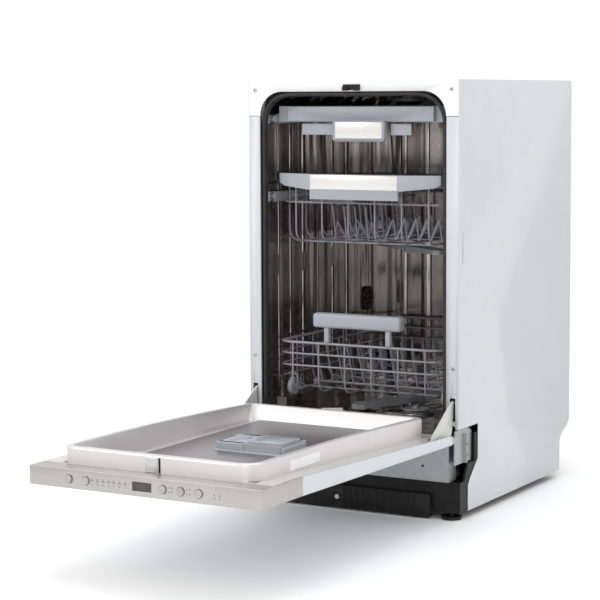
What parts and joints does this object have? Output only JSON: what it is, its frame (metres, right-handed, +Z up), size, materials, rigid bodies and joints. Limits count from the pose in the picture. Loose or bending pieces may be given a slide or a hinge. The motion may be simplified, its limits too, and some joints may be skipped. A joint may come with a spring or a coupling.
{
  "type": "built-in dishwasher",
  "caption": "Slim built-in dishwasher with its door open, a wire lower and upper basket, a cutlery tray and a door-edge control panel.",
  "frame": {"origin": "on the floor, under the middle of the machine's box with the door open", "axes": "+Z up, +Y from the open door towards the rear, +X to the right seen from the front"},
  "size_m": [0.448, 1.2596, 0.82],
  "materials": {
    "painted_panel": "satin powder coat, cool light grey",
    "white_rail": "satin white paint",
    "galvanised": "galvanised sheet, faint spangle",
    "tub_steel": "polished stainless steel",
    "liner_steel": "satin stainless steel",
    "panel_steel": "brushed stainless steel, lines along the width",
    "black_plastic": "matt moulded black polypropylene",
    "grey_plastic": "fine-textured light grey polypropylene",
    "white_plastic": "smooth white plastic",
    "wire_coating": "smooth grey nylon-coated wire",
    "arm_plastic": "mid grey plastic",
    "seal_rubber": "soft dark rubber",
    "display_glass": "gloss black window",
    "button_metal": "satin metallised cap",
    "felt_mat": "dark pressed felt",
    "pump_plastic": "dark grey plastic",
    "screw_steel": "zinc-plated steel",
    "hinge_paint": "cream-grey painted steel"
  },
  "bodies": {
    "cabinet": {"side_panel_left": "painted_panel", "side_panel_right": "painted_panel", "front_top_rail": "white_rail", "rear_panel": "galvanised", "tub": "tub_steel", "tub_gasket": "seal_rubber", "top_mat": "felt_mat", "lower_front_sheet": "galvanised", "base_tray": "black_plastic", "base_front_cover": "black_plastic", "hinge_brackets": "galvanised", "door_strike": "black_plastic", "frame_screws": "screw_steel", "sump": "black_plastic", "circulation_pump": "pump_plastic", "drain_pump": "pump_plastic", "water_softener": "white_plastic", "water_distributor": "white_plastic", "inlet_valve": "white_plastic", "drain_spigot": "pump_plastic", "mains_inlet": "black_plastic", "feed_pipe": "grey_plastic", "rack_rails": "grey_plastic", "vent_grille": "black_plastic", "filter_plate": "tub_steel", "door_springs": "screw_steel"},
    "front_foot_left": {"front_foot_left": "black_plastic"},
    "front_foot_right": {"front_foot_right": "black_plastic"},
    "rear_foot": {"rear_foot": "black_plastic"},
    "salt_cap": {"salt_cap": "white_plastic"},
    "filter_cylinder": {"filter_cylinder": "grey_plastic"},
    "lower_spray_arm": {"lower_spray_arm": "arm_plastic"},
    "ceiling_sprinkler": {"ceiling_sprinkler": "arm_plastic"},
    "door": {"door_outer_sheet": "painted_panel", "control_panel": "panel_steel", "door_liner": "liner_steel", "hinge_arms": "hinge_paint", "dispenser_body": "grey_plastic", "display_window": "display_glass"},
    "door_latch": {"door_latch": "screw_steel"},
    "dispenser_lid": {"dispenser_lid": "grey_plastic"},
    "rinse_aid_cap": {"rinse_aid_cap": "grey_plastic"},
    "button_power": {"button_power": "button_metal"},
    "button_programme": {"button_programme": "button_metal"},
    "button_timer": {"button_timer": "button_metal"},
    "button_options": {"button_options": "button_metal"},
    "button_start": {"button_start": "button_metal"},
    "lower_rack": {"lower_basket": "wire_coating", "lower_basket_floor": "wire_coating", "lower_handle": "grey_plastic"},
    "lower_tines": {"lower_tines": "wire_coating"},
    "front_wheels": {"front_wheels": "grey_plastic"},
    "rear_wheels": {"rear_wheels": "grey_plastic"},
    "upper_rack": {"upper_basket": "wire_coating", "upper_front": "grey_plastic"},
    "upper_spray_arm": {"upper_spray_arm": "arm_plastic"},
    "height_levers": {"height_levers": "grey_plastic"},
    "cup_shelf": {"cup_shelf": "wire_coating"},
    "cutlery_rack": {"cutlery_tray": "grey_plastic", "cutlery_front": "grey_plastic"}
  },
  "joints": [
    {"name": "front_foot_left_adjust", "type": "slide", "parent": "cabinet", "child": "front_foot_left", "axis": [0, 0, -1], "range_m": [0, 0.04]},
    {"name": "front_foot_right_adjust", "type": "slide", "parent": "cabinet", "child": "front_foot_right", "axis": [0, 0, -1], "range_m": [0, 0.04]},
    {"name": "rear_foot_adjust", "type": "slide", "parent": "cabinet", "child": "rear_foot", "axis": [0, 0, -1], "range_m": [0, 0.04]},
    {"name": "salt_cap_turn", "type": "hinge", "parent": "cabinet", "child": "salt_cap", "pos_m": [-0.092, 0.17175, 0.17], "axis": [0, 0, 1], "range_deg": [0, 90]},
    {"name": "filter_turn", "type": "hinge", "parent": "cabinet", "child": "filter_cylinder", "pos_m": [0.028, 0.29975, 0.17], "axis": [0, 0, 1], "range_deg": [0, 70]},
    {"name": "lower_arm_spin", "type": "hinge", "parent": "cabinet", "child": "lower_spray_arm", "pos_m": [0, 0.33275, 0.2], "axis": [0, 0, 1], "continuous": true},
    {"name": "sprinkler_spin", "type": "hinge", "parent": "cabinet", "child": "ceiling_sprinkler", "pos_m": [0, 0.33275, 0.784], "axis": [0, 0, 1], "continuous": true},
    {"name": "door_swing", "type": "hinge", "parent": "cabinet", "child": "door", "pos_m": [0, 0.03675, 0.154], "axis": [1, 0, 0], "range_deg": [-90, 0]},
    {"name": "latch_push", "type": "slide", "parent": "door", "child": "door_latch", "axis": [0, 1, 0], "range_m": [0, 0.0025], "stiffness_N_per_m": 800},
    {"name": "lid_slide", "type": "slide", "parent": "door", "child": "dispenser_lid", "axis": [0, 1, 0], "range_m": [0, 0.055]},
    {"name": "rinse_cap_turn", "type": "hinge", "parent": "door", "child": "rinse_aid_cap", "pos_m": [-0.026, -0.27275, 0.195], "axis": [0, 0, 1], "range_deg": [0, 90]},
    {"name": "button_power_press", "type": "slide", "parent": "door", "child": "button_power", "axis": [0, 1, 0], "range_m": [0, 0.0015], "stiffness_N_per_m": 600},
    {"name": "button_programme_press", "type": "slide", "parent": "door", "child": "button_programme", "axis": [0, 1, 0], "range_m": [0, 0.0015], "stiffness_N_per_m": 600},
    {"name": "button_timer_press", "type": "slide", "parent": "door", "child": "button_timer", "axis": [0, 1, 0], "range_m": [0, 0.0015], "stiffness_N_per_m": 600},
    {"name": "button_options_press", "type": "slide", "parent": "door", "child": "button_options", "axis": [0, 1, 0], "range_m": [0, 0.0015], "stiffness_N_per_m": 600},
    {"name": "button_start_press", "type": "slide", "parent": "door", "child": "button_start", "axis": [0, 1, 0], "range_m": [0, 0.0015], "stiffness_N_per_m": 600},
    {"name": "lower_rack_slide", "type": "slide", "parent": "cabinet", "child": "lower_rack", "axis": [0, -1, 0], "range_m": [0, 0.42]},
    {"name": "tines_fold", "type": "hinge", "parent": "lower_rack", "child": "lower_tines", "pos_m": [0, 0.19975, 0.226], "axis": [1, 0, 0], "range_deg": [0, 68]},
    {"name": "front_wheels_roll", "type": "hinge", "parent": "lower_rack", "child": "front_wheels", "pos_m": [0, 0.15175, 0.2203], "axis": [1, 0, 0], "continuous": true},
    {"name": "rear_wheels_roll", "type": "hinge", "parent": "lower_rack", "child": "rear_wheels", "pos_m": [0, 0.53475, 0.2203], "axis": [1, 0, 0], "continuous": true},
    {"name": "upper_rack_slide", "type": "slide", "parent": "cabinet", "child": "upper_rack", "axis": [0, -1, 0], "range_m": [0, 0.43]},
    {"name": "upper_arm_spin", "type": "hinge", "parent": "upper_rack", "child": "upper_spray_arm", "pos_m": [0, 0.33275, 0.488], "axis": [0, 0, 1], "continuous": true},
    {"name": "levers_press", "type": "slide", "parent": "upper_rack", "child": "height_levers", "axis": [0, 0, -1], "range_m": [0, 0.008], "stiffness_N_per_m": 400, "springref_m": -0.004},
    {"name": "cup_shelf_fold", "type": "hinge", "parent": "upper_rack", "child": "cup_shelf", "pos_m": [-0.161, 0.33275, 0.584], "axis": [0, -1, 0], "range_deg": [0, 85]},
    {"name": "cutlery_rack_slide", "type": "slide", "parent": "cabinet", "child": "cutlery_rack", "axis": [0, -1, 0], "range_m": [0, 0.39]}
  ],
  "couplings": [
    {"joint": "front_wheels_roll", "follows": "lower_rack_slide", "rad_per_m": 58.824},
    {"joint": "rear_wheels_roll", "follows": "lower_rack_slide", "rad_per_m": 58.824}
  ]
}
